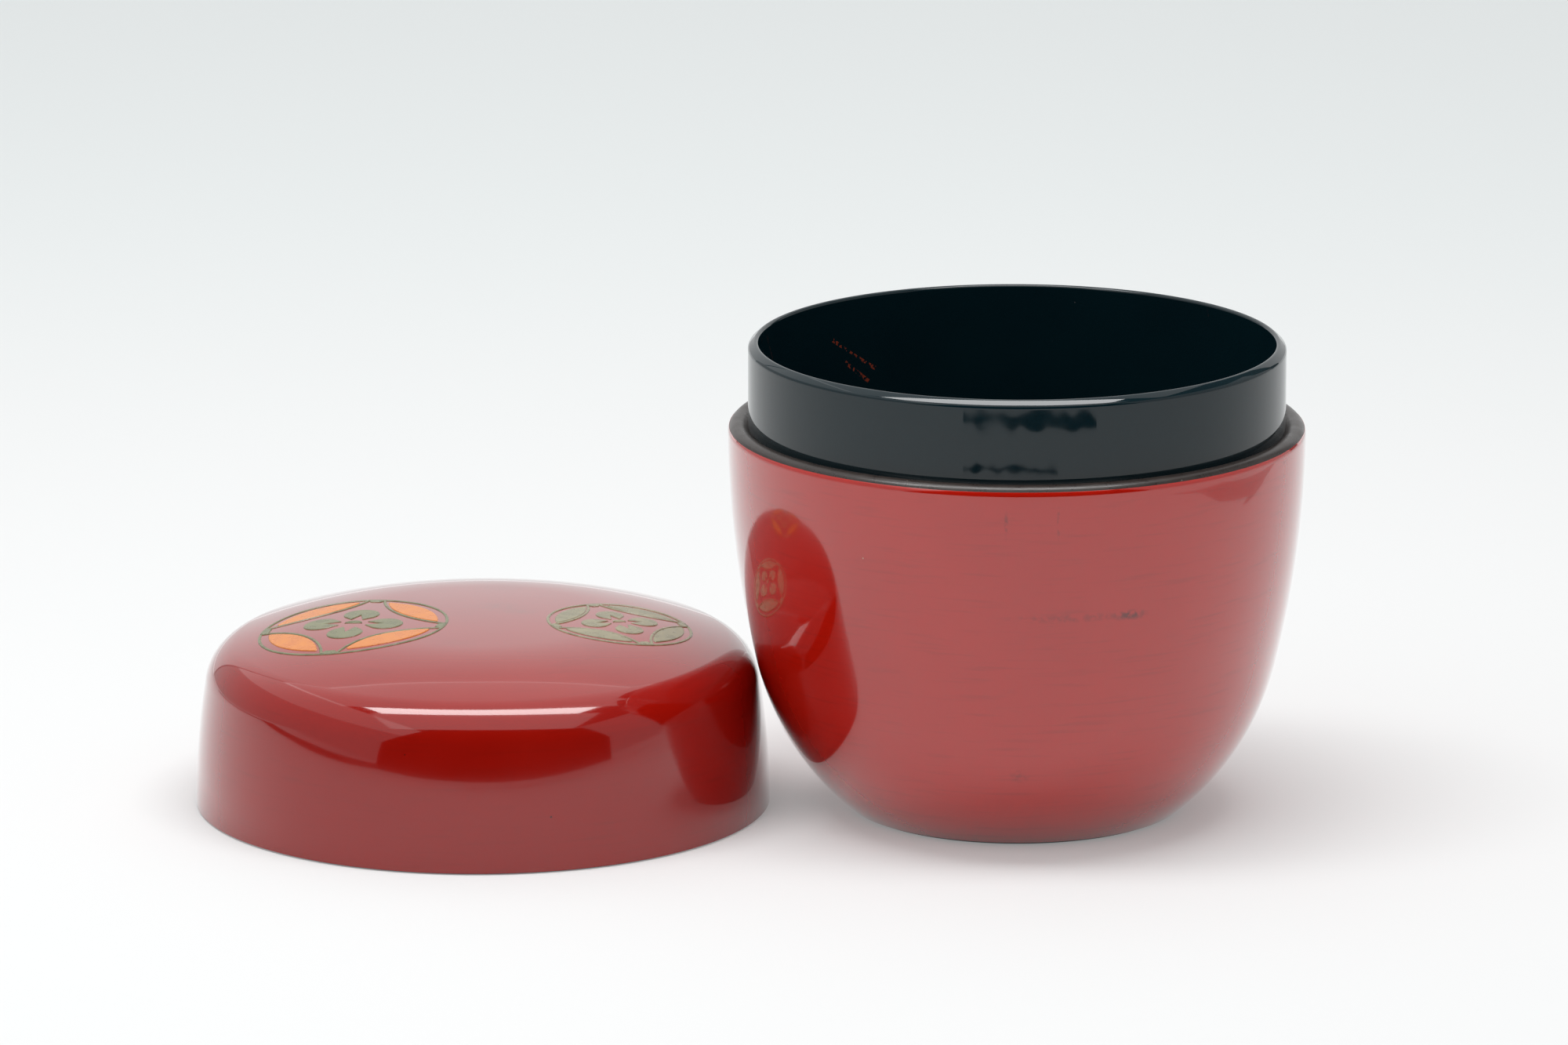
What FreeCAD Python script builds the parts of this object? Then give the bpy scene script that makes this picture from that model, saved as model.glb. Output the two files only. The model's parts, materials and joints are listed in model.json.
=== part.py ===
import FreeCAD, Part
import math
import os
import Sketcher

# A lacquered tea caddy, opened: a turned bowl with a collar in its mouth, and its domed lid
# lying beside it on the table. Millimetres, +Z up, origin on the table midway between the two.

SIZES = {
    # Bowl
    "seam_radius": 35.0,          # outside of bowl and lid where they meet
    "ledge_height": 48.4,         # the ledge that the lid sits on
    "ledge_width": 2.45,          # from the collar out to the seam
    "ledge_edge": 0.9,            # rounding of the ledge's bare outer edge
    "belly_inset": 3.5,           # how far the side has drawn in at the belly
    "belly_height": 18.0,         # where the side turns into the base
    "foot_inset": 15.0,           # how far the foot's edge stands inside the seam
    "foot_ring": 3.5,             # width of the ring that the bowl stands on
    "foot_recess": 0.8,           # depth of the hollow inside that ring
    "foot_line": 0.35,            # bare line between the table and the red coat
    "bowl_wall": 3.05,            # thickness of the turned wall
    "bowl_floor": 4.0,            # height of the turned floor inside
    "floor_corner": 12.0,         # rounding between wall and floor inside
    # Collar
    "collar_wall": 1.3,
    "collar_rise": 9.0,           # above the ledge
    "collar_seat": 8.0,           # down into the bowl's mouth
    "collar_shoulder": 0.4,       # how far the seat stands inside the wall above the ledge
    "shoulder_sink": 0.1,         # how far that shoulder is let into the ledge
    "collar_round": 0.5,          # rounding of the rim's two edges
    # Lid
    "lid_height": 23.35,
    "lid_wall_arc": 95.5,         # the wall is upright at the rim and draws in on this arc
    "lid_shoulder_arc": 5.9,      # the turn from wall to dome
    "lid_brow_arc": 55.0,         # the dome's rounder outer part
    "lid_crown_arc": 295.0,       # its nearly flat middle
    "lid_crown_drop": 8.8,        # from the crown down to the shoulder turn's centre
    "lid_edge": 0.45,             # rounding of the lid's bare rim
    "lid_roof": 2.2,              # thickness of the turned roof
    "lid_corner": 9.0,            # rounding between bore and roof inside
    "lid_clearance": 0.2,         # play between the collar and the lid's lined bore
    "lid_standoff": 0.1,          # least room between the lid and the bowl beside it
    # Lacquer
    "coat": 0.25,                 # red coat
    "lining": 0.2,                # black coat
    "film": 0.12,                 # raised ornament on the lid
    # Roundels
    "line_width": 0.45,
    "left_radius": 11.4,          # middle of the ring's line
    "left_bow": 13.35,            # radius of the arcs inside the ring
    "left_near": 4.1,             # from the lid's middle to the roundel's near side
    "left_forward": 3.75,         # towards the viewer
    "left_turn": -11.8,           # degrees
    "left_knot": 1.2,             # radius of the knots where ring and arcs meet
    "left_petal_rim_inset": 1.1,  # petal's edge from the ring
    "left_petal_bow_inset": 1.45, # petal's edge from the inner arc
    "left_flower_heel": 1.9,      # flower's petals run from here
    "left_flower_reach": 6.0,     # to here, from the middle
    "left_flower_width": 3.8,
    "left_flower_eye": 1.1,
    "right_radius": 8.7,
    "right_bow": 10.2,
    "right_near": 8.1,
    "right_forward": 2.15,
    "right_turn": 24.4,
    "right_knot": 0.95,
    "right_petal_rim_inset": 0.85,
    "right_petal_bow_inset": 1.1,
    "right_flower_heel": 1.45,
    "right_flower_reach": 4.7,
    "right_flower_width": 2.95,
    "right_flower_eye": 0.85,
}

doc = FreeCAD.newDocument("lacquered_tea_caddy")
sheet = doc.addObject("Spreadsheet::Sheet", "Sizes")
for row, (alias, number) in enumerate(SIZES.items(), 1):
    sheet.set(f"A{row}", alias.replace("_", " "))
    sheet.set(f"B{row}", str(number))
    sheet.setAlias(f"B{row}", alias)
derived = doc.addObject("App::VarSet", "Derived")
doc.recompute()


class Size:
    """A length: its value now, and the formula that binds it to the sheet."""

    def __init__(self, value, formula):
        self.value = value
        self.formula = formula

    def __add__(self, other):
        return Size(self.value + other.value, f"({self.formula} + {other.formula})")

    def __sub__(self, other):
        return Size(self.value - other.value, f"({self.formula} - {other.formula})")

    def __mul__(self, other):
        return Size(self.value * other.value, f"({self.formula} * {other.formula})")

    def __truediv__(self, other):
        return Size(self.value / other.value, f"({self.formula} / {other.formula})")

    def __neg__(self):
        return Size(-self.value, f"(-{self.formula})")


def size(alias):
    return Size(float(sheet.get(alias)), f"Sizes.{alias}")


def root(length):
    return Size(math.sqrt(length.value), f"sqrt({length.formula})")


def largest(lengths):
    values = [length.value for length in lengths]
    formulas = [length.formula for length in lengths]
    return Size(max(values), f"max({'; '.join(formulas)})")


def derive(name, length):
    """Keep a worked-out length under its own name in the document."""
    derived.addProperty("App::PropertyFloat", name)
    derived.setExpression(name, length.formula)
    return Size(length.value, f"Derived.{name}")


ZERO = Size(0.0, "0")
TWO = Size(2.0, "2")


def other_leg(longest, leg):
    """The third side of a right-angled triangle."""
    return root(longest * longest - leg * leg)


# Outlines are lists of stretches. Each starts at a point and runs to the next one's start,
# straight or as an arc of less than half a circle about a centre.
def line(x, y):
    return {"x": x, "y": y}


def arc(x, y, centre_x, centre_y, radius):
    return {"x": x, "y": y, "centre": (centre_x, centre_y), "radius": radius}


def bind(sketch, constraint, length):
    index = sketch.addConstraint(constraint)
    sketch.setExpression(f"Constraints[{index}]", length.formula)


def hold_point(sketch, geometry, end, x, y):
    """Tie a point to the sheet, or to an axis where it lies on one."""
    if x is ZERO:
        sketch.addConstraint(Sketcher.Constraint("PointOnObject", geometry, end, -2))
    else:
        bind(sketch, Sketcher.Constraint("DistanceX", -1, 1, geometry, end, x.value), x)
    if y is ZERO:
        sketch.addConstraint(Sketcher.Constraint("PointOnObject", geometry, end, -1))
    else:
        bind(sketch, Sketcher.Constraint("DistanceY", -1, 1, geometry, end, y.value), y)


def draw_loop(sketch, stretches):
    """Draw a closed outline and tie every point and radius of it to the sheet."""
    ends = []
    for stretch, following in zip(stretches, stretches[1:] + stretches[:1]):
        start = FreeCAD.Vector(stretch["x"].value, stretch["y"].value, 0)
        finish = FreeCAD.Vector(following["x"].value, following["y"].value, 0)
        if "centre" not in stretch:
            geometry = sketch.addGeometry(Part.LineSegment(start, finish))
            ends.append((geometry, 1, 2))
            continue
        centre = FreeCAD.Vector(stretch["centre"][0].value, stretch["centre"][1].value, 0)
        circle = Part.Circle(centre, FreeCAD.Vector(0, 0, 1), stretch["radius"].value)
        anticlockwise = (start - centre).cross(finish - centre).z > 0
        first, last = (start, finish) if anticlockwise else (finish, start)
        turn = Part.ArcOfCircle(circle, circle.parameter(first), circle.parameter(last))
        geometry = sketch.addGeometry(turn)
        ends.append((geometry, 1, 2) if anticlockwise else (geometry, 2, 1))
    for (geometry, _, end), (after, begin, _) in zip(ends, ends[1:] + ends[:1]):
        sketch.addConstraint(Sketcher.Constraint("Coincident", geometry, end, after, begin))
    for stretch, (geometry, begin, _) in zip(stretches, ends):
        hold_point(sketch, geometry, begin, stretch["x"], stretch["y"])
        if "radius" in stretch:
            radius = stretch["radius"]
            bind(sketch, Sketcher.Constraint("Radius", geometry, radius.value), radius)


def draw_circle(sketch, radius):
    """Draw a circle about the sketch's own middle."""
    middle = FreeCAD.Vector(0, 0, 0)
    geometry = sketch.addGeometry(Part.Circle(middle, FreeCAD.Vector(0, 0, 1), radius.value))
    sketch.addConstraint(Sketcher.Constraint("Coincident", geometry, 3, -1, 1))
    bind(sketch, Sketcher.Constraint("Radius", geometry, radius.value), radius)


def turned(label, stretches):
    """A piece turned about the upright axis, from half of its section."""
    body = doc.addObject("PartDesign::Body", label)
    upright = [plane for plane in body.Origin.OriginFeatures if plane.Role == "XZ_Plane"][0]
    sketch = body.newObject("Sketcher::SketchObject", f"{label}_section")
    sketch.AttachmentSupport = [(upright, "")]
    sketch.MapMode = "FlatFace"
    draw_loop(sketch, stretches)
    revolution = body.newObject("PartDesign::Revolution", f"{label}_turned")
    revolution.Profile = sketch
    revolution.ReferenceAxis = (sketch, ["V_Axis"])
    revolution.Angle = 360
    body.Label = label
    return body


# Bowl: the side is upright at the ledge and draws in on one arc to the belly,
# where a smaller arc takes over and runs down to the foot.
seam = size("seam_radius")
ledge = size("ledge_height")
coat = size("coat")
lining = size("lining")
belly_radius = seam - size("belly_inset")
belly_height = size("belly_height")
foot_radius = derive("foot_radius", seam - size("foot_inset"))
belly_drop = ledge - belly_height
side_arc = derive(
    "side_arc",
    (size("belly_inset") * size("belly_inset") + belly_drop * belly_drop) / (TWO * size("belly_inset")),
)
side_x = derive("side_centre", seam - side_arc)
slope_x = (side_x - belly_radius) / side_arc
slope_y = belly_drop / side_arc
foot_x = foot_radius - belly_radius
base_arc = derive(
    "base_arc",
    (foot_x * foot_x + belly_height * belly_height) / (TWO * (slope_x * foot_x - slope_y * belly_height)),
)
base_x = derive("base_centre", belly_radius + base_arc * slope_x)
base_y = derive("base_centre_height", belly_height + base_arc * slope_y)
seam_line = ledge - size("ledge_edge")


def side_radius(height, depth):
    """Radius of the bowl's side at a height, a depth under its surface."""
    return side_x + other_leg(side_arc - depth, ledge - height)


def base_radius(height, depth):
    """Radius of the bowl's base at a height, a depth under its surface."""
    return base_x + other_leg(base_arc - depth, base_y - height)


def belly(depth):
    """Where side and base meet, a depth under the surface."""
    share = (side_arc - depth) / (side_arc - base_arc)
    return side_x + (base_x - side_x) * share, ledge + (base_y - ledge) * share


def up_the_bowl(low, high, depth):
    """From a height on the base up to a height on the side."""
    belly_x, belly_y = belly(depth)
    return [
        arc(base_radius(low, depth), low, base_x, base_y, base_arc - depth),
        arc(belly_x, belly_y, side_x, ledge, side_arc - depth),
        line(side_radius(high, depth), high),
    ]


def down_the_bowl(high, low, depth):
    """From a height on the side down to a height on the base."""
    belly_x, belly_y = belly(depth)
    return [
        arc(side_radius(high, depth), high, side_x, ledge, side_arc - depth),
        arc(belly_x, belly_y, base_x, base_y, base_arc - depth),
        line(base_radius(low, depth), low),
    ]


collar_outside = derive("collar_outside", seam - size("ledge_width"))
collar_inside = derive("collar_inside", collar_outside - size("collar_wall"))
collar_foot = derive("collar_foot", ledge - size("collar_seat"))
seat_outside = derive("collar_seat_outside", collar_outside - size("collar_shoulder"))
shoulder_foot = derive("collar_shoulder_foot", ledge - size("shoulder_sink"))
corner_base = size("bowl_floor") + size("floor_corner")
cavity_depth = coat + size("bowl_wall")
corner_reach = base_arc - cavity_depth - size("floor_corner")
corner_x = derive("corner_centre", base_x + other_leg(corner_reach, base_y - corner_base))


def down_the_cavity(depth, extra):
    """From under the collar down the inner wall to the middle of the floor."""
    belly_x, belly_y = belly(depth)
    share = (base_arc - depth) / corner_reach
    corner_top_x = base_x + (corner_x - base_x) * share
    corner_top_y = base_y + (corner_base - base_y) * share
    floor = size("bowl_floor") + extra
    return [
        arc(side_radius(collar_foot, depth), collar_foot, side_x, ledge, side_arc - depth),
        arc(belly_x, belly_y, base_x, base_y, base_arc - depth),
        arc(corner_top_x, corner_top_y, corner_x, corner_base, size("floor_corner") - extra),
        line(corner_x, floor),
        line(ZERO, floor),
    ]


def back_up(stretches):
    """The same outline walked from its last point to its first."""
    points = list(reversed(stretches))
    walked = []
    for point, before in zip(points, points[1:] + [None]):
        step = dict(x=point["x"], y=point["y"])
        if before and "centre" in before:
            step["centre"] = before["centre"]
            step["radius"] = before["radius"]
        walked.append(step)
    return walked


recess_radius = derive("recess_radius", foot_radius - size("foot_ring"))
recess = size("foot_recess")
edge_x = side_radius(seam_line, ZERO) - size("ledge_edge")
collar_top = ledge + size("collar_rise")
rim_round = size("collar_round")
rim_height = collar_top - rim_round
bowl_pieces = [
    turned("bowl_core", [
        line(ZERO, recess),
        line(recess_radius, recess),
        line(recess_radius, ZERO),
        *up_the_bowl(ZERO, seam_line, coat),
        arc(side_radius(seam_line, ZERO), seam_line, edge_x, seam_line, size("ledge_edge")),
        line(edge_x, ledge),
        line(collar_outside, ledge),
        line(collar_outside, shoulder_foot),
        line(seat_outside, shoulder_foot),
        line(seat_outside, collar_foot),
        *down_the_cavity(cavity_depth, ZERO),
    ]),
    turned("bowl_red_lacquer", [
        *up_the_bowl(size("foot_line"), seam_line, ZERO),
        *down_the_bowl(seam_line, size("foot_line"), coat),
    ]),
    turned("bowl_black_lining", [
        *down_the_cavity(cavity_depth, ZERO),
        *back_up(down_the_cavity(cavity_depth + lining, lining)),
    ]),
    turned("base_black_lacquer", [
        line(ZERO, recess - lining),
        line(recess_radius, recess - lining),
        line(recess_radius, recess),
        line(ZERO, recess),
    ]),
    # A sleeve with a rounded rim, standing in the rabbet of the bowl's mouth
    turned("collar_sleeve", [
        line(collar_inside, collar_foot),
        line(seat_outside, collar_foot),
        line(seat_outside, shoulder_foot),
        line(collar_outside, shoulder_foot),
        arc(collar_outside, rim_height, collar_outside - rim_round, rim_height, rim_round),
        line(collar_outside - rim_round, collar_top),
        arc(collar_inside + rim_round, collar_top, collar_inside + rim_round, rim_height, rim_round),
        line(collar_inside, rim_height),
    ]),
]

# Lid: upright at its rim like the bowl, drawing in to a tight shoulder under a shallow dome
# that is rounder at its brow and nearly flat in the middle.
lid_wall_arc = size("lid_wall_arc")
shoulder_arc = size("lid_shoulder_arc")
brow_arc = size("lid_brow_arc")
crown_arc = size("lid_crown_arc")
wall_x = derive("lid_wall_centre", seam - lid_wall_arc)
shoulder_y = derive("lid_shoulder_height", size("lid_height") - size("lid_crown_drop"))
shoulder_x = derive(
    "lid_shoulder_centre",
    wall_x + other_leg(lid_wall_arc - shoulder_arc, shoulder_y),
)
crown_y = derive("crown_centre_height", size("lid_height") - crown_arc)
lid_edge = size("lid_edge")

# The brow is centred where it runs smoothly into both the crown and the shoulder.
brow_to_crown = crown_arc - brow_arc
brow_to_shoulder = brow_arc - shoulder_arc
rise = shoulder_y - crown_y
span = derive("crown_to_shoulder", root(shoulder_x * shoulder_x + rise * rise))
along = derive(
    "brow_along",
    (span * span + brow_to_crown * brow_to_crown - brow_to_shoulder * brow_to_shoulder) / (TWO * span),
)
aside = derive("brow_aside", other_leg(brow_to_crown, along))
brow_x = derive("brow_centre", (shoulder_x * along - rise * aside) / span)
brow_y = derive("brow_centre_height", crown_y + (rise * along + shoulder_x * aside) / span)


def up_the_lid(low, depth):
    """From a height on the lid's wall up over its shoulder and brow to the crown."""
    wall_share = (lid_wall_arc - depth) / (lid_wall_arc - shoulder_arc)
    brow_share = (brow_arc - depth) / brow_to_shoulder
    crown_share = (crown_arc - depth) / brow_to_crown
    return [
        arc(wall_x + other_leg(lid_wall_arc - depth, low), low, wall_x, ZERO, lid_wall_arc - depth),
        arc(
            wall_x + (shoulder_x - wall_x) * wall_share, shoulder_y * wall_share,
            shoulder_x, shoulder_y, shoulder_arc - depth,
        ),
        arc(
            brow_x + (shoulder_x - brow_x) * brow_share, brow_y + (shoulder_y - brow_y) * brow_share,
            brow_x, brow_y, brow_arc - depth,
        ),
        arc(
            brow_x * crown_share, crown_y + (brow_y - crown_y) * crown_share,
            ZERO, crown_y, crown_arc - depth,
        ),
        line(ZERO, crown_y + crown_arc - depth),
    ]


lid_bore = derive("lid_bore", collar_outside + size("lid_clearance"))
lid_corner = size("lid_corner")
ceiling_arc = derive("ceiling_arc", crown_arc - coat - size("lid_roof"))
hollow_x = derive("lid_corner_centre", lid_bore + lining - lid_corner)
hollow_y = derive("lid_corner_height", crown_y + other_leg(ceiling_arc - lid_corner, hollow_x))


def up_the_hollow(low, depth):
    """From a height in the lid's bore up to the middle of its ceiling."""
    share = (ceiling_arc - depth) / (ceiling_arc - lid_corner)
    return [
        line(lid_bore + lining - depth, low),
        arc(lid_bore + lining - depth, hollow_y, hollow_x, hollow_y, lid_corner - depth),
        arc(hollow_x * share, crown_y + (hollow_y - crown_y) * share, ZERO, crown_y, ceiling_arc - depth),
        line(ZERO, crown_y + ceiling_arc - depth),
    ]


edge_out = wall_x + other_leg(lid_wall_arc, lid_edge)
lid_pieces = [
    turned("lid_core", [
        arc(edge_out - lid_edge, ZERO, edge_out - lid_edge, lid_edge, lid_edge),
        line(edge_out, lid_edge),
        *up_the_lid(lid_edge, coat),
        *back_up(up_the_hollow(ZERO, ZERO)),
    ]),
    turned("lid_red_lacquer", [
        *up_the_lid(lid_edge, ZERO),
        *back_up(up_the_lid(lid_edge, coat)),
    ]),
    turned("lid_black_lining", [
        *up_the_hollow(lid_edge, ZERO),
        *back_up(up_the_hollow(lid_edge, lining)),
    ]),
]

# Roundels: thin raised lacquer, cut from a film that follows the lid's outside.
film = turned("film_shell", [
    *up_the_lid(lid_edge, -size("film")),
    *back_up(up_the_lid(lid_edge, ZERO)),
])


QUARTERS = [(1, 1), (-1, 1), (-1, -1), (1, -1)]


def mirrored(sign, length):
    return length if sign > 0 else -length


def bow_centre(radius, bow):
    """How far along both axes an inner arc is centred, so that it runs through two knots."""
    return (radius + root(TWO * bow * bow - radius * radius)) / TWO


def draw_petals(sketch, radius, bow, rim_inset, bow_inset):
    """Four lenses, one to a quarter, each between the ring and an inner arc."""
    centre = bow_centre(radius, bow)
    rim = radius - rim_inset
    edge = bow - bow_inset
    total = (rim * rim - edge * edge) / (TWO * centre) + centre
    difference = root(TWO * rim * rim - total * total)
    far = (total + difference) / TWO
    near = (total - difference) / TWO
    for sign_x, sign_y in QUARTERS:
        draw_loop(sketch, [
            arc(mirrored(sign_x, far), mirrored(sign_y, near), ZERO, ZERO, rim),
            arc(
                mirrored(sign_x, near), mirrored(sign_y, far),
                mirrored(sign_x, centre), mirrored(sign_y, centre), edge,
            ),
        ])


def draw_outline(sketch, radius, bow, knot):
    """Ring, inner arcs and knots, as a disc with four petal windows and a star window."""
    half_line = size("line_width") / TWO
    centre = bow_centre(radius, bow)
    draw_circle(sketch, radius + half_line)
    rim = radius - half_line
    rim_far = (rim * rim - knot * knot + radius * radius) / (TWO * radius)
    rim_near = other_leg(rim, rim_far)
    edge = bow - half_line
    along = (edge * edge - knot * knot + bow * bow) / (TWO * bow)
    across = other_leg(edge, along)
    lean = (radius - centre) / bow
    drop = centre / bow
    bow_far = centre + along * lean - across * drop
    bow_near = centre - along * drop - across * lean
    for sign_x, sign_y in QUARTERS:
        knot_x = mirrored(sign_x, radius)
        knot_y = mirrored(sign_y, radius)
        bow_x = mirrored(sign_x, centre)
        bow_y = mirrored(sign_y, centre)
        draw_loop(sketch, [
            arc(mirrored(sign_x, rim_far), mirrored(sign_y, rim_near), ZERO, ZERO, rim),
            arc(mirrored(sign_x, rim_near), mirrored(sign_y, rim_far), ZERO, knot_y, knot),
            arc(mirrored(sign_x, bow_near), mirrored(sign_y, bow_far), bow_x, bow_y, edge),
            arc(mirrored(sign_x, bow_far), mirrored(sign_y, bow_near), knot_x, ZERO, knot),
        ])
    inner_edge = bow + half_line
    point = centre - other_leg(inner_edge, centre)
    draw_loop(sketch, [
        arc(point, ZERO, centre, centre, inner_edge),
        arc(ZERO, point, -centre, centre, inner_edge),
        arc(-point, ZERO, -centre, -centre, inner_edge),
        arc(ZERO, -point, centre, -centre, inner_edge),
    ])


def draw_flower(sketch, heel, reach, width, eye):
    """A round eye and four pointed petals on the ring's own axes."""
    draw_circle(sketch, eye / TWO)
    middle = (heel + reach) / TWO
    half_length = (reach - heel) / TWO
    half_width = width / TWO
    bend = (half_length * half_length + half_width * half_width) / width
    offset = bend - half_width
    for sign in (1, -1):
        first = mirrored(sign, heel)
        last = mirrored(sign, reach)
        centre = mirrored(sign, middle)
        draw_loop(sketch, [
            arc(first, ZERO, centre, offset, bend),
            arc(last, ZERO, centre, -offset, bend),
        ])
        draw_loop(sketch, [
            arc(ZERO, first, offset, centre, bend),
            arc(ZERO, last, -offset, centre, bend),
        ])


def ornament(label, x, side, draw, *lengths):
    """A drawing in plan, raised through the film and cut from it."""
    plan = doc.addObject("Sketcher::SketchObject", f"{label}_plan")
    draw(plan, *lengths)
    turn = FreeCAD.Rotation(FreeCAD.Vector(0, 0, 1), size(f"{side}_turn").value)
    plan.Placement = FreeCAD.Placement(FreeCAD.Vector(0, 0, 0), turn)
    plan.setExpression("Placement.Rotation.Angle", size(f"{side}_turn").formula)
    plan.setExpression("Placement.Base.x", x.formula)
    plan.setExpression("Placement.Base.y", (-size(f"{side}_forward")).formula)
    plan.setExpression("Placement.Base.z", shoulder_y.formula)
    raised = doc.addObject("Part::Extrusion", f"{label}_raised")
    raised.Base = plan
    raised.DirMode = "Custom"
    raised.Dir = FreeCAD.Vector(0, 0, 1)
    raised.Solid = True
    raised.setExpression("LengthFwd", size("lid_height").formula)
    piece = doc.addObject("Part::Common", label)
    piece.Base = raised
    piece.Tool = film
    piece.Label = label
    return piece


left_x = -(size("left_near") + size("left_radius"))
right_x = size("right_near") + size("right_radius")
for side, x in (("left", left_x), ("right", right_x)):
    ring = [size(f"{side}_radius"), size(f"{side}_bow")]
    petal = [size(f"{side}_petal_{edge}_inset") for edge in ("rim", "bow")]
    flower = [size(f"{side}_flower_{part}") for part in ("heel", "reach", "width", "eye")]
    lid_pieces += [
        ornament(f"{side}_roundel_outline", x, side, draw_outline, *ring, size(f"{side}_knot")),
        ornament(f"{side}_roundel_petals", x, side, draw_petals, *ring, *petal),
        ornament(f"{side}_roundel_flower", x, side, draw_flower, *flower),
    ]

# Bowl and lid stand side by side, just clear of each other: the widest reach of any arc
# of the bowl's side against any arc of the lid's wall sets how far apart their middles are.
bowl_arcs = [(side_x, ledge, side_arc), (base_x, base_y, base_arc)]
lid_arcs = [(wall_x, ZERO, lid_wall_arc), (shoulder_x, shoulder_y, shoulder_arc)]
apart = derive("apart", largest([
    bowl_x + lid_x + other_leg(bowl_arc + lid_arc + size("lid_standoff"), bowl_y - lid_y)
    for bowl_x, bowl_y, bowl_arc in bowl_arcs
    for lid_x, lid_y, lid_arc in lid_arcs
]))
for piece in bowl_pieces:
    piece.setExpression("Placement.Base.x", (apart / TWO).formula)
for piece in lid_pieces:
    piece.setExpression("Placement.Base.x", (-apart / TWO).formula)

doc.recompute()
failed = [item.Name for item in doc.Objects if "Invalid" in item.State or "Error" in item.State]
if failed:
    raise RuntimeError(f"failed to build: {failed}")
pieces = bowl_pieces + lid_pieces
for piece in pieces:
    if piece.Shape.isNull() or not piece.Shape.isValid() or not piece.Shape.Solids:
        raise RuntimeError(f"bad shape: {piece.Label}")

os.makedirs("parts", exist_ok=True)
for piece in pieces:
    piece.Shape.exportStep(f"parts/{piece.Label}.step")
    print(f"{piece.Label}: {len(piece.Shape.Solids)} solids, {piece.Shape.Volume:.1f} mm3")
for length in (apart, side_arc, base_arc, brow_x, brow_y, lid_bore, hollow_y, collar_inside, corner_x):
    print(f"{length.formula} {length.value:.3f}")
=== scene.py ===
import json
import math

import bpy
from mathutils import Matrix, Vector

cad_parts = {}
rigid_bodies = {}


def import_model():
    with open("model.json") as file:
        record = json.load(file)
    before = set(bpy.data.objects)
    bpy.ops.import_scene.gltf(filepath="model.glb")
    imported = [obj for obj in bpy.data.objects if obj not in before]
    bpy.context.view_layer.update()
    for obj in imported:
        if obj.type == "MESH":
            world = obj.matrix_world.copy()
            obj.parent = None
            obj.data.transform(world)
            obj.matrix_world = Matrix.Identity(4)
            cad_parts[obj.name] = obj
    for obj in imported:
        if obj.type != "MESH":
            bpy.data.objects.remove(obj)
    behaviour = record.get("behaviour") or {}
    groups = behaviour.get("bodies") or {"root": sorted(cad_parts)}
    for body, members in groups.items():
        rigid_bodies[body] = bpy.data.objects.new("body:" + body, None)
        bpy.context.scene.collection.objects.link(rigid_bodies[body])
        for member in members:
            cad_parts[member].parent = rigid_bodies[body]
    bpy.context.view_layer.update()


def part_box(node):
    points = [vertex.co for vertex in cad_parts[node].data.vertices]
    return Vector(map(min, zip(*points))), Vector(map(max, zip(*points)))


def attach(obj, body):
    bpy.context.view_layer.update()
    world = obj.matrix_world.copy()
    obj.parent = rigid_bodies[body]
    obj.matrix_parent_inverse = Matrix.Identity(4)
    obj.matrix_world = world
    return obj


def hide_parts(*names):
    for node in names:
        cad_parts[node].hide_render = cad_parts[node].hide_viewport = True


# A round lacquered tea caddy: the open bowl with its black collar, and the lid lying beside it.
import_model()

MM = 0.001
FULL_TURN = 2 * math.pi

# Where the two pieces stand, from the frame
bowl_low, bowl_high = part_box("bowl_core")
lid_low, lid_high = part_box("lid_red_lacquer")
BOWL_X = (bowl_low.x + bowl_high.x) / 2
LID_X = (lid_low.x + lid_high.x) / 2

# Sizes of the bowl, measured from its own axis and the table. The photo puts the ledge a little lower
# and the collar's rim a little higher than the frame does.
SEAM_RADIUS = 35.0 * MM
LEDGE_LOWERED = 0.55 * MM
LEDGE = bowl_high.z - LEDGE_LOWERED
LEDGE_ROUNDING = 1.3 * MM
SEAM_LINE = LEDGE - LEDGE_ROUNDING
COAT_ON_ROUNDING = math.radians(28)
LIP_ROUNDING_END = math.radians(128)
BELLY_INSET = 3.5 * MM
BELLY_HEIGHT = 18.0 * MM
FOOT_RADIUS = 20.0 * MM
FOOT_LINE = 0.35 * MM
RECESS_RADIUS = 16.5 * MM
RECESS_DEPTH = 0.8 * MM
COAT = 0.25 * MM
LINING = 0.2 * MM
COAT_STEP = 0.04 * MM
BOWL_WALL = 3.3 * MM
FLOOR_HEIGHT = 4.0 * MM
FLOOR_CORNER = 12.0 * MM

# Sizes of the collar
COLLAR_OUTSIDE = 32.55 * MM
COLLAR_SEAT = 32.15 * MM
COLLAR_INSIDE = 31.25 * MM
COLLAR_FOOT = 40.4 * MM
COLLAR_SHOULDER_RISE = 0.75 * MM
COLLAR_SHOULDER = SEAM_LINE + COLLAR_SHOULDER_RISE
COLLAR_RAISED = 0.25 * MM
COLLAR_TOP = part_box("collar_sleeve")[1].z + COLLAR_RAISED
RIM_ROUNDING = 0.37 * MM
RIM_BEVEL_ARC = 5.0 * MM
RIM_BEVEL_TILTS = (math.radians(36), math.radians(44))

# Sizes of the lid
LID_HEIGHT = lid_high.z
LID_WALL_ARC = 95.5 * MM
LID_SHOULDER_ARC = 5.9 * MM
LID_CROWN_DROP = 8.8 * MM
LID_SHOULDER_HEIGHT = LID_HEIGHT - LID_CROWN_DROP
LID_BROW_ARC = 55.0 * MM
LID_CROWN_ARC = 295.0 * MM
LID_COAT_START = 0.15 * MM
LID_EDGE = 0.12 * MM
LID_BORE = 32.95 * MM
LID_CROWN_WALL = 2.45 * MM
LID_HOLLOW_CORNER = 9.0 * MM

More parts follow.
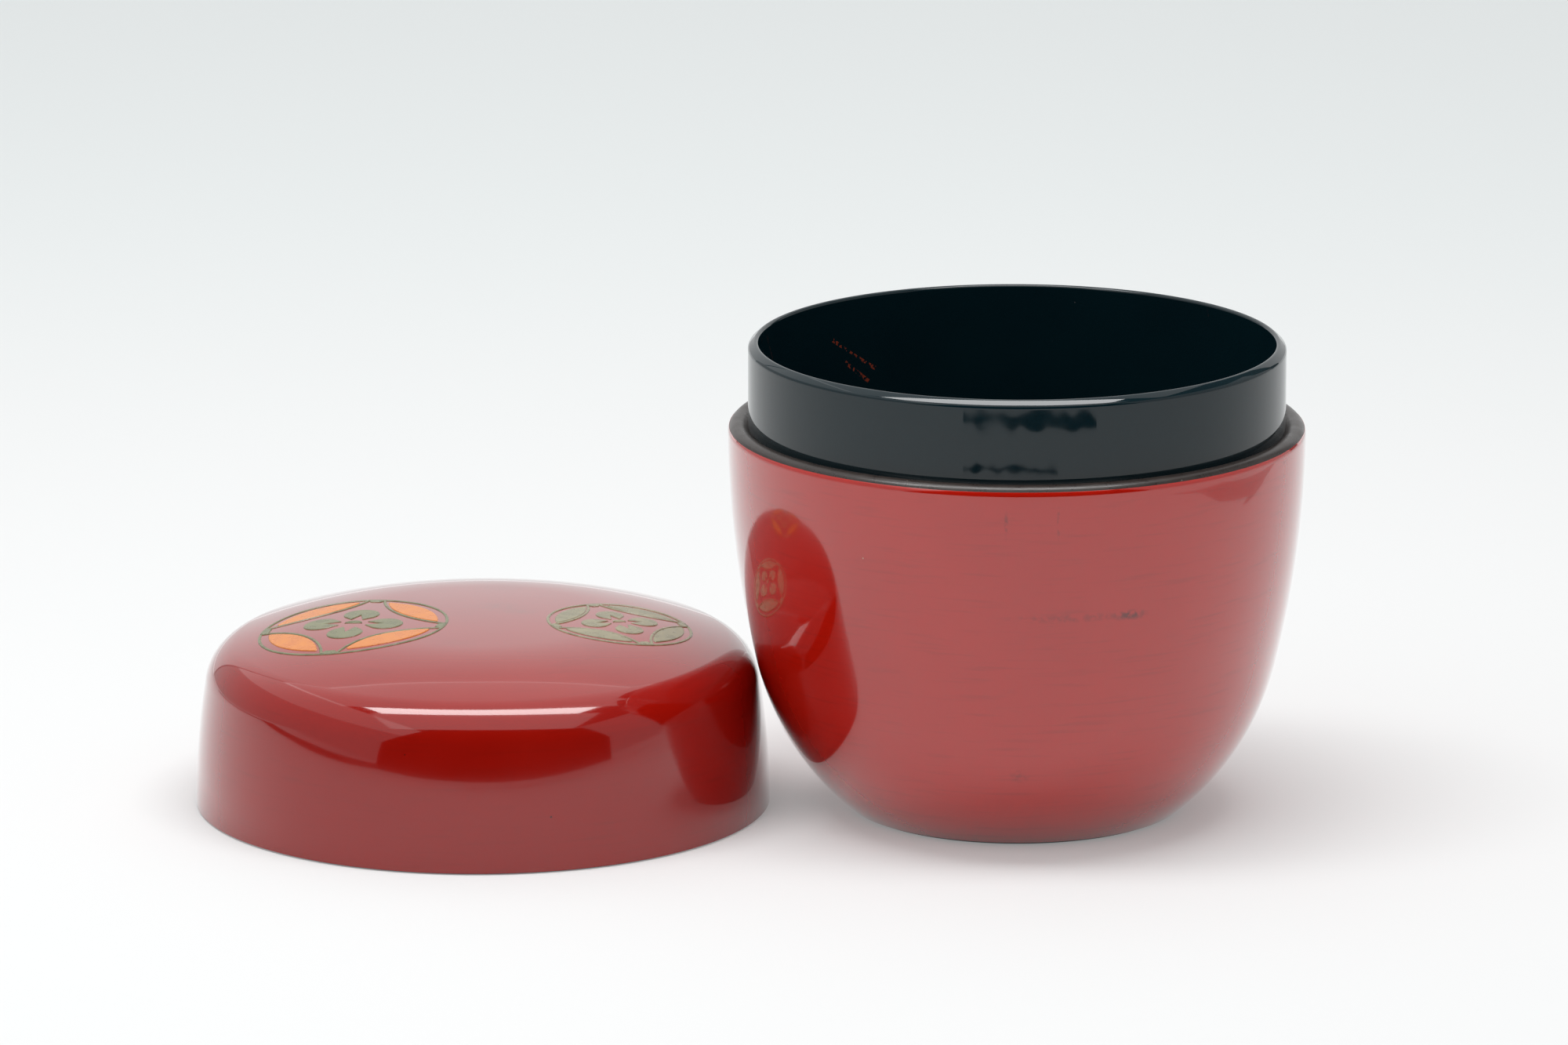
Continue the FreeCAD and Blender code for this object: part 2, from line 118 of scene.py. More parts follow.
# The camera of the photograph
CAMERA_PLACE = (31.84 * MM, -1294.21 * MM, 351.16 * MM)
CAMERA_LOOKS_DOWN = 13.73
CAMERA_TILT = math.radians(90 - CAMERA_LOOKS_DOWN)
CAMERA_TURN = math.radians(1.22)
CAMERA_LENS = 252.0

# How finely arcs and turned pieces are cut, and how near points are welded
TURN_STEPS = 240
LEAST_ARC_STEPS = 4
ARC_STEP_ANGLE = math.radians(2.5)
ARC_STEP_LENGTH = 1.2 * MM
HOLDING_EDGE = 0.12 * MM
LONGEST_HOLD = 0.3
WELD = 0.001 * MM
SMOOTH_ANGLE = math.radians(32)

X_AXIS = Vector((1, 0, 0))
Y_AXIS = Vector((0, 1, 0))
Z_AXIS = Vector((0, 0, 1))

# The bowl's outline: an upright arc from the seam to the belly, and a rounder one from there to the foot
side_arc = (BELLY_INSET**2 + (LEDGE - BELLY_HEIGHT) ** 2) / (2 * BELLY_INSET)
side_centre = Vector((SEAM_RADIUS - side_arc, LEDGE))
belly = Vector((SEAM_RADIUS - BELLY_INSET, BELLY_HEIGHT))
belly_normal = (belly - side_centre).normalized()
foot = Vector((FOOT_RADIUS, 0))
base_arc = (belly - foot).length_squared / (2 * (belly - foot).dot(belly_normal))
base_centre = belly - base_arc * belly_normal
edge_x = side_centre.x + math.sqrt(side_arc**2 - (LEDGE - SEAM_LINE) ** 2) - LEDGE_ROUNDING
edge_centre = Vector((edge_x, SEAM_LINE))

# The lid's outline: a nearly upright wall, a tight shoulder, a round brow and a nearly flat crown,
# each running smoothly into the next
wall_centre = Vector((SEAM_RADIUS - LID_WALL_ARC, 0))
shoulder_reach = LID_WALL_ARC - LID_SHOULDER_ARC
shoulder_x = wall_centre.x + math.sqrt(shoulder_reach**2 - LID_SHOULDER_HEIGHT**2)
shoulder_centre = Vector((shoulder_x, LID_SHOULDER_HEIGHT))
crown_centre = Vector((0, LID_HEIGHT - LID_CROWN_ARC))
to_shoulder = shoulder_centre - crown_centre
brow_to_crown = LID_CROWN_ARC - LID_BROW_ARC
brow_to_shoulder = LID_BROW_ARC - LID_SHOULDER_ARC
brow_squares = to_shoulder.length_squared + brow_to_crown**2 - brow_to_shoulder**2
brow_along = brow_squares / (2 * to_shoulder.length)
brow_aside = math.sqrt(brow_to_crown**2 - brow_along**2)
brow_way = brow_along * to_shoulder + brow_aside * to_shoulder.orthogonal()
brow_centre = crown_centre + brow_way / to_shoulder.length


def bowl_side(height, depth):
    """The bowl's wall above the belly, depth inside its outline."""
    return side_centre.x + math.sqrt((side_arc - depth) ** 2 - (height - LEDGE) ** 2)


def bowl_base(height, depth):
    """The bowl's wall below the belly, depth inside its outline."""
    return base_centre.x + math.sqrt((base_arc - depth) ** 2 - (height - base_centre.y) ** 2)


def belly_point(depth):
    return belly - depth * belly_normal


def edge_point(radius, angle):
    """A point on the rounding at the ledge's edge, angle above level."""
    return edge_centre + radius * Vector((math.cos(angle), math.sin(angle)))


def lid_wall(height, depth):
    return wall_centre.x + math.sqrt((LID_WALL_ARC - depth) ** 2 - height**2)


def lid_shoulder_foot(depth):
    """Where the lid's wall runs into its shoulder."""
    direction = (shoulder_centre - wall_centre).normalized()
    return wall_centre + (LID_WALL_ARC - depth) * direction


def lid_shoulder_top(depth):
    """Where the lid's shoulder runs into its brow."""
    return brow_centre + (LID_BROW_ARC - depth) * (shoulder_centre - brow_centre).normalized()


def lid_brow_top(depth):
    """Where the lid's brow runs into its crown."""
    return crown_centre + (LID_CROWN_ARC - depth) * (brow_centre - crown_centre).normalized()


# Drawing outlines, turning them and laying flat shapes


def new_piece(name):
    """Start an empty piece at the origin, in edit mode."""
    bpy.ops.object.select_all(action="DESELECT")
    bpy.ops.mesh.primitive_plane_add(size=MM)
    piece = bpy.context.object
    piece.name = piece.data.name = name
    bpy.ops.object.mode_set(mode="EDIT")
    bpy.ops.mesh.select_all(action="SELECT")
    bpy.ops.mesh.delete(type="VERT")
    return piece


def draw(outline, origin, across, up, hold=HOLDING_EDGE):
    """Draw an outline from point to point: (a, b) is a straight run to there, (a, b, centre) an arc
    about that centre. A long straight run gets a holding point near each end, so that it shades flat."""
    here = Vector(outline[0])
    bpy.ops.mesh.select_all(action="DESELECT")
    bpy.ops.mesh.primitive_plane_add(size=MM, location=origin + here.x * across + here.y * up)
    bpy.ops.mesh.merge(type="CENTER")
    for a, b, *centre in outline[1:]:
        there = Vector((a, b))
        if centre:
            middle = Vector(centre[0])
            sweep = -(here - middle).angle_signed(there - middle)
            length = abs(sweep) * (here - middle).length
            by_angle = math.ceil(abs(sweep) / ARC_STEP_ANGLE)
            by_length = math.ceil(length / ARC_STEP_LENGTH)
            steps = max(LEAST_ARC_STEPS, by_angle, by_length)
            pivot = origin + middle.x * across + middle.y * up
            bpy.ops.mesh.spin(steps=steps, angle=sweep, center=pivot, axis=up.cross(across))
        else:
            run = there - here
            end = hold / run.length
            held = 0 < end < LONGEST_HOLD
            for share in (end, 1 - 2 * end, end) if held else (1.0,):
                step = share * (run.x * across + run.y * up)
                bpy.ops.mesh.extrude_vertices_move(TRANSFORM_OT_translate={"value": step})
        here = there
    bpy.ops.mesh.select_linked()
    bpy.ops.mesh.remove_doubles(threshold=WELD)


def turned(name, axis_x, outline):
    """Draw half a section and turn it once round its upright axis, as on a lathe."""
    piece = new_piece(name)
    draw(outline, Vector((0, 0, 0)), X_AXIS, Z_AXIS)
    bpy.ops.mesh.select_all(action="SELECT")
    bpy.ops.mesh.spin(steps=TURN_STEPS, angle=FULL_TURN, center=(0, 0, 0), axis=(0, 0, 1))
    bpy.ops.mesh.select_all(action="SELECT")
    bpy.ops.mesh.remove_doubles(threshold=WELD)
    bpy.ops.mesh.normals_make_consistent(inside=False)
    bpy.ops.transform.translate(value=(axis_x, 0, 0))
    bpy.ops.object.mode_set(mode="OBJECT")
    bpy.ops.object.shade_smooth_by_angle(angle=SMOOTH_ANGLE)
    return piece


def belongs(piece, body, slot, *materials):
    """Give a finished piece its materials, and put it in the place of its CAD node."""
    for material in materials:
        piece.data.materials.append(material)
    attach(piece, body)
    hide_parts(piece.name.removesuffix("_finish"))


# Materials


def srgb(colour):
    """An sRGB hex colour as linear values."""
    channels = [int(colour[i : i + 2], 16) / 255 for i in (1, 3, 5)]
    linear = [c / 12.92 if c <= 0.04045 else ((c + 0.055) / 1.055) ** 2.4 for c in channels]
    return (*linear, 1.0)


def per(size):
    """How often a pattern of that size, in millimetres, repeats in a metre."""
    return 1 / (size * MM)


def add(tree, kind, inputs=None, give=None, **settings):
    """Add a node with its settings and links, and return the socket that it gives."""
    made = tree.nodes.new("ShaderNode" + kind)
    for name, value in settings.items():
        setattr(made, name, value)
    for name, value in (inputs or {}).items():
        named = [s for s in made.inputs if s.enabled and s.name == name]
        socket = made.inputs[name] if isinstance(name, int) else named[0]
        if isinstance(value, bpy.types.NodeSocket):
            tree.links.new(value, socket)
        else:
            socket.default_value = value
    return next((s for s in made.outputs if s.enabled and give in (None, s.name)), None)


def ranged(tree, value, source, target, **settings):
    """A value mapped from one range to another, and held at its ends."""
    ends = {"From Min": source[0], "From Max": source[1], "To Min": target[0], "To Max": target[1]}
    return add(tree, "MapRange", {0: value, **ends}, **settings)


def blended(tree, share, under, over):
    """One colour laid over another by that share."""
    return add(tree, "Mix", {"Factor": share, "A": under, "B": over}, data_type="RGBA")


def times(tree, one, other):
    return add(tree, "Math", {0: one, 1: other}, operation="MULTIPLY")


def new_material(name):
    """An empty material and its node tree."""
    material = bpy.data.materials.new(name)
    material.use_nodes = True
    material.node_tree.nodes.clear()
    return material, material.node_tree


def specks(tree, place, spacing, radius, share):
    """Round specks of that radius and spacing in millimetres, kept in a share of the cells."""
    cells = add(tree, "TexVoronoi", {"Vector": place, "Scale": per(spacing)}, "Distance")
    voronoi = cells.node
    size = radius / spacing
    spot = ranged(tree, cells, (size * 0.6, size), (1.0, 0.0))
    chosen = add(tree, "Math", {0: voronoi.outputs["Color"], 1: share}, operation="LESS_THAN")
    return times(tree, spot, chosen)


def patch(tree, place, centre, reach):
    """A soft patch round a point, with its reach along each axis in millimetres, broken up like wear."""
    offset = add(tree, "VectorMath", {0: place, 1: Vector(centre) * MM}, operation="SUBTRACT")
    scaled = add(tree, "VectorMath", {0: offset, 1: [per(size) for size in reach]}, operation="MULTIPLY")
    away = add(tree, "VectorMath", {0: scaled}, "Value", operation="LENGTH")
    soft = ranged(tree, away, (0.3, 1.0), (1.0, 0.0))
    wear = add(tree, "TexNoise", {"Vector": place, "Scale": per(0.7), "Detail": 3.0})
    broken = ranged(tree, wear, (0.4, 0.6), (0.0, 1.0))
    return times(tree, soft, broken)


def scratch(tree, place, start, end, width):
    """A dashed scratch between two points, all in millimetres."""
    run = (Vector(end) - Vector(start)) * MM
    offset = add(tree, "VectorMath", {0: place, 1: Vector(start) * MM}, operation="SUBTRACT")
    along = add(tree, "VectorMath", {0: offset, 1: run.normalized()}, "Value", operation="DOT_PRODUCT")
    nearest = add(tree, "VectorMath", {0: run.normalized(), "Scale": along}, operation="SCALE")
    aside = add(tree, "VectorMath", {0: offset, 1: nearest}, "Value", operation="DISTANCE")
    thin = add(tree, "Math", {0: aside, 1: width * MM}, operation="LESS_THAN")
    half = run.length / 2
    inside = add(tree, "Math", {0: along, 1: half, 2: half}, operation="COMPARE")
    dashes = add(tree, "TexNoise", {"Vector": place, "Scale": per(0.5), "Detail": 1.0})
    kept = ranged(tree, dashes, (0.47, 0.55), (0.0, 1.0))
    line = times(tree, thin, inside)
    return times(tree, line, kept)


def vermilion_lacquer(name, deep, bright, ground_index, coat_index, marks):
    """Vermilion lacquer, brushed on in thin coats and polished: a deep even red under a clear mirror gloss,
    with faint level brush marks, a slow unevenness, and a little dust caught in the coat."""
    material, tree = new_material(name)
    place = add(tree, "TexCoord", give="Object")
    cloud = add(tree, "TexNoise", {"Vector": place, "Scale": per(16), "Detail": 3.0})
    level = add(tree, "Mapping", {"Vector": place, "Scale": (0.06, 0.06, 1.0)})
    brush = add(tree, "TexNoise", {"Vector": level, "Scale": per(0.5), "Detail": 2.0})
    colour = blended(tree, cloud, srgb(deep), srgb(bright))
    streak = ranged(tree, brush, (0.55, 0.8), (0.0, 0.3))
    colour = blended(tree, streak, colour, srgb("#7C1208"))
    dust = specks(tree, place, spacing=6.0, radius=0.13, share=0.35)
    colour = blended(tree, dust, colour, srgb("#C98A78"))
    pits = specks(tree, place, spacing=8.5, radius=0.16, share=0.25)
    colour = blended(tree, pits, colour, srgb("#4A0705"))
    for centre, reach, mark, strength in marks:
        worn = patch(tree, place, centre, reach)
        share = times(tree, worn, strength)
        colour = blended(tree, share, colour, srgb(mark))
    rough = ranged(tree, cloud, (0.3, 0.7), (0.07, 0.13))
    waves = add(tree, "TexNoise", {"Vector": place, "Scale": per(6.0), "Detail": 0.0})
    bump = add(tree, "Bump", {"Strength": 1.0, "Distance": 0.006 * MM, "Height": waves})
    shader = add(
        tree,
        "BsdfPrincipled",
        {
            "Base Color": colour,
            "Roughness": rough,
            "IOR": ground_index,
            "Coat Weight": 1.0,
            "Coat Roughness": 0.03,
            "Coat IOR": coat_index,
            "Normal": bump,
            "Coat Normal": bump,
        },
    )
    add(tree, "OutputMaterial", {"Surface": shader})
    return material


SCRATCH_WIDTH = 0.24


def black_lacquer(name, scratches=()):
    """Black lacquer, thin and polished: near black, with a cool cast that is painted reflection of the pale
    blue-grey room, and a hard clear gloss that fine wiping marks blur a little. Scratches show the reddish
    ground coat."""
    material, tree = new_material(name)
    place = add(tree, "TexCoord", give="Object")
    cloud = add(tree, "TexNoise", {"Vector": place, "Scale": per(9), "Detail": 4.0})
    # The cool blue-green cast in this colour is painted reflection, not the lacquer's own colour.
    colour = blended(tree, cloud, srgb("#081A20"), srgb("#0A2228"))
    dust = specks(tree, place, spacing=5.0, radius=0.1, share=0.3)
    colour = blended(tree, dust, colour, srgb("#4A4A4C"))
    for start, end in scratches:
        line = scratch(tree, place, start, end, SCRATCH_WIDTH)
        colour = blended(tree, line, colour, srgb("#8A3A28"))
    rough = ranged(tree, cloud, (0.35, 0.7), (0.02, 0.05))
    waves = add(tree, "TexNoise", {"Vector": place, "Scale": per(3.5), "Detail": 1.0})
    bump = add(tree, "Bump", {"Strength": 1.0, "Distance": 0.006 * MM, "Height": waves})
    shader = add(
        tree,
        "BsdfPrincipled",
        {"Base Color": colour, "Roughness": rough, "IOR": 1.5, "Normal": bump},
    )
    add(tree, "OutputMaterial", {"Surface": shader})
    return material


def bare_core(axis_x):
    """Turned wood under its dark ground coat: satin dark brown with fine turning rings and pale dust."""
    material, tree = new_material("sealed_turned_wood")
    place = add(tree, "TexCoord", give="Object")
    centred = add(tree, "Mapping", {"Vector": place, "Location": (-axis_x, 0, 0), "Scale": (1, 1, 0)})
    radius = add(tree, "VectorMath", {0: centred}, "Value", operation="LENGTH")
    ringed = times(tree, radius, per(0.22))
    rings = add(tree, "TexNoise", {"W": ringed, "Scale": 1.0, "Detail": 2.0}, noise_dimensions="1D")
    grain = add(tree, "TexNoise", {"Vector": place, "Scale": per(2.2), "Detail": 4.0})
    tone = times(tree, rings, grain)
    colour = blended(tree, tone, srgb("#241D1B"), srgb("#4C423D"))
    dust = specks(tree, place, spacing=1.6, radius=0.09, share=0.4)
    colour = blended(tree, dust, colour, srgb("#8A7F79"))
    rough = ranged(tree, grain, (0.3, 0.7), (0.24, 0.36))
    relief = add(tree, "Math", {0: rings, 1: 0.3, 2: grain}, operation="MULTIPLY_ADD")
    bump = add(tree, "Bump", {"Strength": 0.7, "Distance": 0.02 * MM, "Height": relief})
    shader = add(
        tree,
        "BsdfPrincipled",
        {"Base Color": colour, "Roughness": rough, "IOR": 1.5, "Normal": bump},
    )
    add(tree, "OutputMaterial", {"Surface": shader})
    return material


def painted_lacquer(name, pale, deep, worn, worn_share):
    """Coloured lacquer painted on by hand: soft colour, thin and streaky in places, with worn specks."""
    material, tree = new_material(name)
    place = add(tree, "TexCoord", give="Object")
    wash = add(tree, "TexNoise", {"Vector": place, "Scale": per(1.6), "Detail": 4.0})
    thin = ranged(tree, wash, (0.3, 0.7), (0.0, 1.0))
    colour = blended(tree, thin, srgb(deep), srgb(pale))
    chips = specks(tree, place, spacing=1.3, radius=0.2, share=worn_share)
    colour = blended(tree, chips, colour, srgb(worn))
    rough = ranged(tree, wash, (0.3, 0.7), (0.22, 0.36))
    bump = add(tree, "Bump", {"Strength": 0.5, "Distance": 0.004 * MM, "Height": wash})
    shader = add(
        tree,
        "BsdfPrincipled",
        {"Base Color": colour, "Roughness": rough, "IOR": 1.48, "Normal": bump},
    )
    add(tree, "OutputMaterial", {"Surface": shader})
    return material


# Wear seen in the photograph: each mark's centre and reach in millimetres, its colour and its strength,
# and where each scratch inside the collar starts and ends
bowl_axis = BOWL_X / MM
lid_axis = LID_X / MM
BOWL_MARKS = [
    ((bowl_axis + 6.7, -33.2, 31.5), (9.5, 4.0, 0.7), "#6A0C06", 0.45),
    ((bowl_axis + 13.6, -31.2, 31.4), (2.6, 3.0, 0.8), "#4A0805", 0.75),
    ((bowl_axis - 1.2, -34.9, 43.2), (0.3, 2.0, 2.2), "#6A0C06", 0.6),
    ((bowl_axis + 5.0, -34.6, 43.4), (0.25, 2.0, 2.4), "#6A0C06", 0.6),
    ((bowl_axis + 0.5, -27.5, 11.0), (1.6, 3.0, 1.2), "#4A0805", 0.5),
]
LID_MARKS = [
    ((lid_axis + 1.5, 3.5, 23.3), (4.5, 3.0, 2.0), "#6E2A1C", 0.35),
    ((lid_axis + 4.5, 1.0, 23.3), (2.5, 1.5, 2.0), "#6E2A1C", 0.4),
]
COLLAR_SCRATCHES = [
    ((bowl_axis - 22.67, 21.51, 52.72), (bowl_axis - 17.42, 25.94, 48.16)),
    ((bowl_axis - 21.15, 23.01, 49.61), (bowl_axis - 18.28, 25.35, 46.71)),
]

bowl_paint = vermilion_lacquer(
    "vermilion_lacquer",
    deep="#B01408",
    bright="#BC1A0B",
    ground_index=1.55,
    coat_index=1.55,
    marks=BOWL_MARKS,
)
# The lid's copy of the red is darker, with a weaker gloss: painted shade, because the lid gets less light
# than the bowl.
shaded_lid_paint = vermilion_lacquer(
    "vermilion_lacquer_lid_painted_shade",
    deep="#910D06",
    bright="#9E1308",
    ground_index=1.45,
    coat_index=1.4,
    marks=LID_MARKS,
)
black = black_lacquer("black_lacquer")
collar_black = black_lacquer("black_lacquer_collar", COLLAR_SCRATCHES)
orange = painted_lacquer("orange_painted_lacquer", "#DC8B47", "#D07A3A", "#B4582F", 0.02)
green = painted_lacquer("green_painted_lacquer", "#848465", "#6C6D4E", "#4C3A2A", 0.06)
pale_green = painted_lacquer("faded_green_painted_lacquer", "#9A9478", "#7F7A60", "#4A3026", 0.16)
brush_edge = painted_lacquer("dark_green_brush_line", "#4A4A32", "#3A3524", "#5A2A18", 0.1)

# The bowl: turned core, collar and coats

corner_reach = base_arc - BOWL_WALL - FLOOR_CORNER
corner_height = FLOOR_HEIGHT + FLOOR_CORNER
corner_x = base_centre.x + math.sqrt(corner_reach**2 - (corner_height - base_centre.y) ** 2)
floor_corner = Vector((corner_x, corner_height))


def corner_top(depth):
    """Where the bowl's inner wall runs into the rounding at its floor."""
    return base_centre + (base_arc - depth) * (floor_corner - base_centre).normalized()


def cavity_line():
    """The core's inside, from the collar's foot down to the middle of its floor."""
    return [
        (bowl_side(COLLAR_FOOT, BOWL_WALL), COLLAR_FOOT),
        (*belly_point(BOWL_WALL), side_centre),
        (*corner_top(BOWL_WALL), base_centre),
        (floor_corner.x, FLOOR_HEIGHT, floor_corner),
        (0, FLOOR_HEIGHT),
    ]


def leaning(tilt):
    """A direction leaning outward from upright by that angle."""
    return Vector((math.sin(tilt), math.cos(tilt)))


rounding_core = LEDGE_ROUNDING - COAT
rounding_bare = LEDGE_ROUNDING - COAT_STEP
bowl_core = turned(
    "bowl_core_finish",
    BOWL_X,
    [
        (0, RECESS_DEPTH),
        (RECESS_RADIUS, RECESS_DEPTH),
        (RECESS_RADIUS, 0),
        (bowl_base(0, COAT), 0),
        (*belly_point(COAT), base_centre),
        (bowl_side(SEAM_LINE, COAT), SEAM_LINE, side_centre),
        (*edge_point(rounding_core, COAT_ON_ROUNDING), edge_centre),
        tuple(edge_point(rounding_bare, COAT_ON_ROUNDING)),
        (*edge_point(rounding_bare, LIP_ROUNDING_END), edge_centre),
        (COLLAR_OUTSIDE, COLLAR_SHOULDER),
        (COLLAR_SEAT, COLLAR_SHOULDER),
        (COLLAR_SEAT, COLLAR_FOOT),
        *cavity_line(),
    ],
)
bowl_red = turned(
    "bowl_red_lacquer_finish",
    BOWL_X,
    [
        (bowl_base(FOOT_LINE, 0), FOOT_LINE),
        (*belly_point(0), base_centre),
        (bowl_side(SEAM_LINE, 0), SEAM_LINE, side_centre),
        (*edge_point(LEDGE_ROUNDING, COAT_ON_ROUNDING), edge_centre),
        tuple(edge_point(rounding_core, COAT_ON_ROUNDING)),
        (bowl_side(SEAM_LINE, COAT), SEAM_LINE, edge_centre),
        (*belly_point(COAT), side_centre),
        (bowl_base(FOOT_LINE, COAT), FOOT_LINE, base_centre),
        (bowl_base(FOOT_LINE, 0), FOOT_LINE),
    ],
)
lined = BOWL_WALL + LINING
bowl_lining = turned(
    "bowl_black_lining_finish",
    BOWL_X,
    [
        (0, FLOOR_HEIGHT + LINING),
        (floor_corner.x, FLOOR_HEIGHT + LINING),
        (*corner_top(lined), floor_corner),
        (*belly_point(lined), base_centre),
        (bowl_side(COLLAR_FOOT, lined), COLLAR_FOOT, side_centre),
        *cavity_line(),
    ],
)
base_coat = turned(
    "base_black_lacquer_finish",
    BOWL_X,
    [
        (0, RECESS_DEPTH - LINING),
        (RECESS_RADIUS - LINING, RECESS_DEPTH - LINING),
        (RECESS_RADIUS, RECESS_DEPTH - 2 * LINING),
        (RECESS_RADIUS, RECESS_DEPTH),
        (0, RECESS_DEPTH),
    ],
)

# The collar's rim is rounded inside, slopes outward and then rounds over into the wall
rim_centre = Vector((COLLAR_INSIDE + RIM_ROUNDING, COLLAR_TOP - RIM_ROUNDING))
bevel_start = rim_centre + RIM_ROUNDING * leaning(RIM_BEVEL_TILTS[0])
bevel_centre = bevel_start - RIM_BEVEL_ARC * leaning(RIM_BEVEL_TILTS[0])
bevel_end = bevel_centre + RIM_BEVEL_ARC * leaning(RIM_BEVEL_TILTS[1])
outer_rounding = (COLLAR_OUTSIDE - bevel_end.x) / (1 - math.sin(RIM_BEVEL_TILTS[1]))
outer_centre = bevel_end - outer_rounding * leaning(RIM_BEVEL_TILTS[1])
collar = turned(
    "collar_sleeve_finish",
    BOWL_X,
    [
        (COLLAR_INSIDE, COLLAR_FOOT),
        (COLLAR_INSIDE, rim_centre.y),
        (*bevel_start, rim_centre),
        (*bevel_end, bevel_centre),
        (COLLAR_OUTSIDE, outer_centre.y, outer_centre),
        (COLLAR_OUTSIDE, COLLAR_SHOULDER),
        (COLLAR_SEAT, COLLAR_SHOULDER),
        (COLLAR_SEAT, COLLAR_FOOT),
        (COLLAR_INSIDE, COLLAR_FOOT),
    ],
)

# The lid: turned core and coats

ceiling_arc = LID_CROWN_ARC - LID_CROWN_WALL
hollow_x = LID_BORE - LID_HOLLOW_CORNER
hollow_height = crown_centre.y + math.sqrt((ceiling_arc - LID_HOLLOW_CORNER) ** 2 - hollow_x**2)
hollow_corner = Vector((hollow_x, hollow_height))


def hollow_line(depth, start):
    """The lid's inside, depth within the core, from its rim up to the middle of its ceiling."""
    corner_end = crown_centre + (ceiling_arc - depth) * (hollow_corner - crown_centre).normalized()
    return [
        (LID_BORE - depth, start),
        (LID_BORE - depth, hollow_height),
        (*corner_end, hollow_corner),
        (0, crown_centre.y + ceiling_arc - depth, crown_centre),
    ]


def lid_outside(depth, start):
    """The lid's outside, depth within its coat, from near the rim up to the crown."""
    return [
        (lid_wall(start, depth), start),
        (*lid_shoulder_foot(depth), wall_centre),
        (*lid_shoulder_top(depth), shoulder_centre),
        (*lid_brow_top(depth), brow_centre),
        (0, LID_HEIGHT - depth, crown_centre),
    ]


def backwards(outline):
    """The same outline drawn from its last point to its first."""
    points = [tuple(stretch[:2]) for stretch in outline]
    centres = [stretch[2:] for stretch in outline]
    return [points[-1]] + [(*points[i - 1], *centres[i]) for i in range(len(outline) - 1, 0, -1)]


lid_core = turned(
    "lid_core_finish",
    LID_X,
    [
        *backwards(hollow_line(0, 0)),
        (SEAM_RADIUS - COAT - LID_EDGE, 0),
        *lid_outside(COAT, LID_COAT_START),
    ],
)
lid_red = turned(
    "lid_red_lacquer_finish",
    LID_X,
    [
        *lid_outside(0, LID_COAT_START),
        *backwards(lid_outside(COAT, LID_COAT_START)),
        (lid_wall(LID_COAT_START, 0), LID_COAT_START),
    ],
)
lid_lining = turned(
    "lid_black_lining_finish",
    LID_X,
    [
        *hollow_line(LINING, LINING),
        *backwards(hollow_line(0, LINING)),
        (LID_BORE - LINING, LINING),
    ],
)

bowl_wood = bare_core(BOWL_X)
lid_wood = bare_core(LID_X)
belongs(bowl_core, "bowl", "turned_core", bowl_wood)
belongs(bowl_red, "bowl", "red_lacquer", bowl_paint)
belongs(bowl_lining, "bowl", "black_lacquer", black)
belongs(base_coat, "bowl", "black_lacquer", black)
belongs(collar, "bowl", "black_lacquer", collar_black)
belongs(lid_core, "lid", "turned_core", lid_wood)
belongs(lid_red, "lid", "red_lacquer", shaded_lid_paint)
belongs(lid_lining, "lid", "black_lacquer", black)

# The roundels painted on the lid: each is drawn flat above the crown, laid on it and given a thin film

FILM = 0.12 * MM
FILM_AT_EDGE = 0.3
SUNK = 0.02 * MM
LINE = 0.38 * MM
BRUSH_EDGE = 0.08 * MM
TIP = 0.3 * MM
ABOVE_LID = LID_HEIGHT + 3 * MM

# Where the bows leave the ring, and the patch over each such place, as angles and shares
BOW_SPREAD = 0.085
PATCH_SPREAD = BOW_SPREAD + 0.03
PATCH_OVER_RING = 0.4 * LINE
PATCH_LENGTH = 1.0 * MM
PATCH_TAPER = 0.45

# A flower's petal: where its round end starts, and its slit and prongs as shares of length and width
PETAL_ROUND_START = (-0.55, 0.835)
PETAL_SLIT = 0.45
PETAL_PRONG = 0.16

# Keeps the two halves of a full turn apart, so that each is swept the same way
HAIR = 0.0001 * MM


